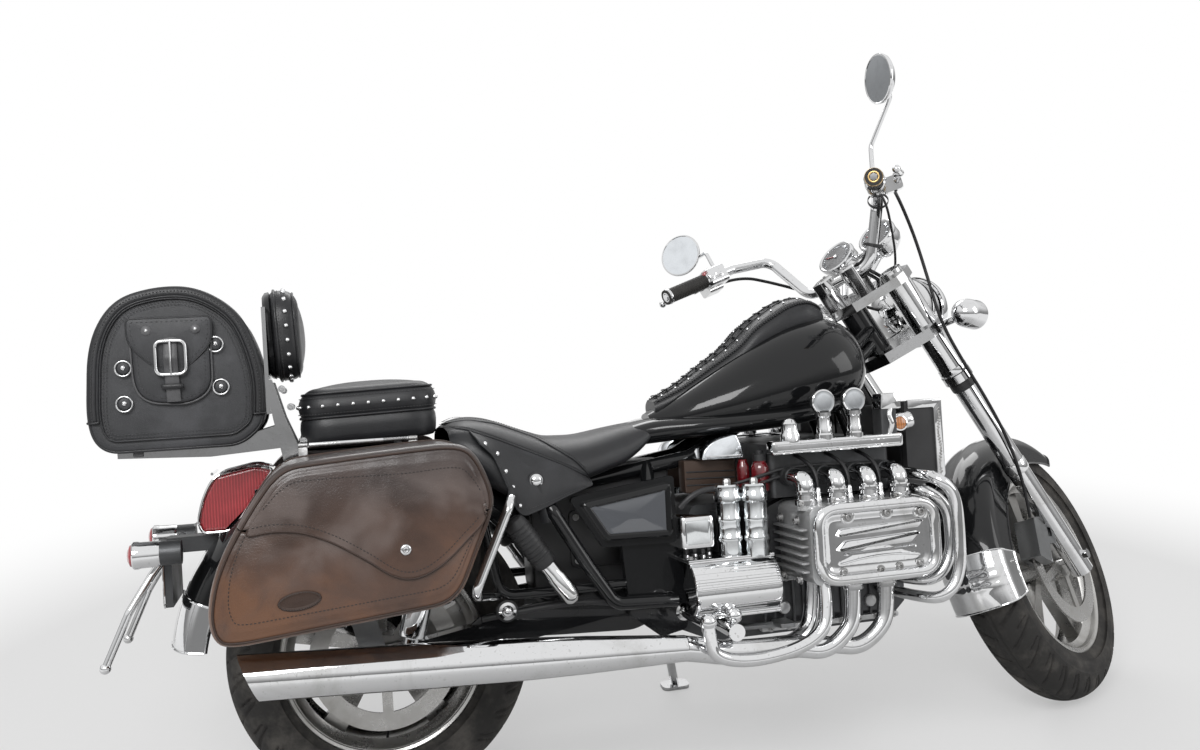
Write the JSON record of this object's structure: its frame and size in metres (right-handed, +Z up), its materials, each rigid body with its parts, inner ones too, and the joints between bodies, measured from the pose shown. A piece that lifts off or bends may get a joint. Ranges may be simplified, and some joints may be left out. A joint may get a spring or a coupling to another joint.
{
  "type": "flat-six cruiser motorcycle",
  "caption": "Heavy flat-engined cruiser motorcycle parked on its side stand, with leather saddlebags, a tail bag, a backrest, a low seat and chrome engine guards.",
  "frame": {"origin": "centre of the bounding box on the ground under the parked motorcycle", "axes": "+X toward the front wheel, +Y to the rider's left, +Z up; the machine leans 11 degrees to +Y on its side stand and its steering rests on the left stop"},
  "size_m": [2.5318, 0.9116, 1.6036],
  "materials": {
    "black_paint": "gloss black paint",
    "cast_alloy": "cast and painted silver-grey alloy",
    "wheel_alloy": "silver-painted cast wheels",
    "chrome": "bright chrome plate",
    "steel": "plain steel",
    "radiator_black": "matt black core",
    "black_leather": "black leather",
    "brown_leather": "dark brown leather over a stiff case",
    "rubber": "black rubber",
    "tyre": "treaded black tyre",
    "red_lens": "red lens"
  },
  "bodies": {
    "chassis": {"frame": "black_paint", "engine_block": "cast_alloy", "gearbox_covers": "chrome", "cylinder_heads": "cast_alloy", "valve_covers": "chrome", "engine_guards": "chrome", "intakes": "chrome", "radiator": "radiator_black", "radiator_shrouds": "chrome", "headers": "chrome", "mufflers": "chrome", "lower_guards": "chrome", "fuel_tank": "black_paint", "tank_bib": "black_leather", "rider_seat": "black_leather", "pillion_pad": "black_leather", "side_covers": "black_paint", "rear_fender": "black_paint", "tail_lamp": "red_lens", "tail_bracket": "chrome", "rear_bars": "chrome", "luggage_rack": "chrome", "backrest_pad": "black_leather", "tail_bag": "black_leather", "saddlebag_right": "brown_leather", "saddlebag_left": "brown_leather", "bag_guards": "chrome", "swingarm": "black_paint", "shocks": "chrome", "rear_caliper": "cast_alloy", "rider_pegs": "rubber", "passenger_pegs": "rubber", "foot_pedals": "chrome"},
    "front_end": {"fork_clamps": "chrome", "fork_legs": "chrome", "front_axle": "steel", "front_fender": "black_paint", "headlight": "chrome", "gauges": "chrome", "handlebar": "chrome", "grips": "rubber", "hand_controls": "chrome", "mirrors": "chrome", "front_signals": "chrome", "front_calipers": "cast_alloy", "brake_hose": "rubber", "clutch_hose": "rubber", "throttle_cable": "rubber"},
    "front_wheel": {"front_tyre": "tyre", "front_rim": "wheel_alloy"},
    "rear_wheel": {"rear_tyre": "tyre", "rear_rim": "wheel_alloy"},
    "stand": {"side_stand": "steel"},
    "lid_right": {"saddlebag_lid_right": "brown_leather"},
    "lid_left": {"saddlebag_lid_left": "brown_leather"}
  },
  "joints": [
    {"name": "steering", "type": "hinge", "parent": "chassis", "child": "front_end", "pos_m": [0.54872, 0.06021, 0.90466], "axis": [-0.5258, 0.1615, 0.8352], "range_deg": [-76, 0]},
    {"name": "front_wheel_spin", "type": "hinge", "parent": "front_end", "child": "front_wheel", "pos_m": [0.96875, -0.0239, 0.30566], "axis": [-0.525, 0.7109, -0.468], "continuous": true},
    {"name": "rear_wheel_spin", "type": "hinge", "parent": "chassis", "child": "rear_wheel", "pos_m": [-0.7121, -0.05462, 0.32461], "axis": [-0.0016, 0.9816, -0.1908], "continuous": true},
    {"name": "stand_fold", "type": "hinge", "parent": "chassis", "child": "stand", "pos_m": [-0.00766, 0.11457, 0.25618], "axis": [0.052, 0.9293, 0.3657], "range_deg": [0, 92]},
    {"name": "lid_right_hinge", "type": "hinge", "parent": "chassis", "child": "lid_right", "pos_m": [-0.7429, -0.16457, 0.81793], "axis": [-1, 0, 0.0085], "range_deg": [0, 75]},
    {"name": "lid_left_hinge", "type": "hinge", "parent": "chassis", "child": "lid_left", "pos_m": [-0.74356, 0.23201, 0.74084], "axis": [1, 0, -0.0085], "range_deg": [0, 75]}
  ]
}
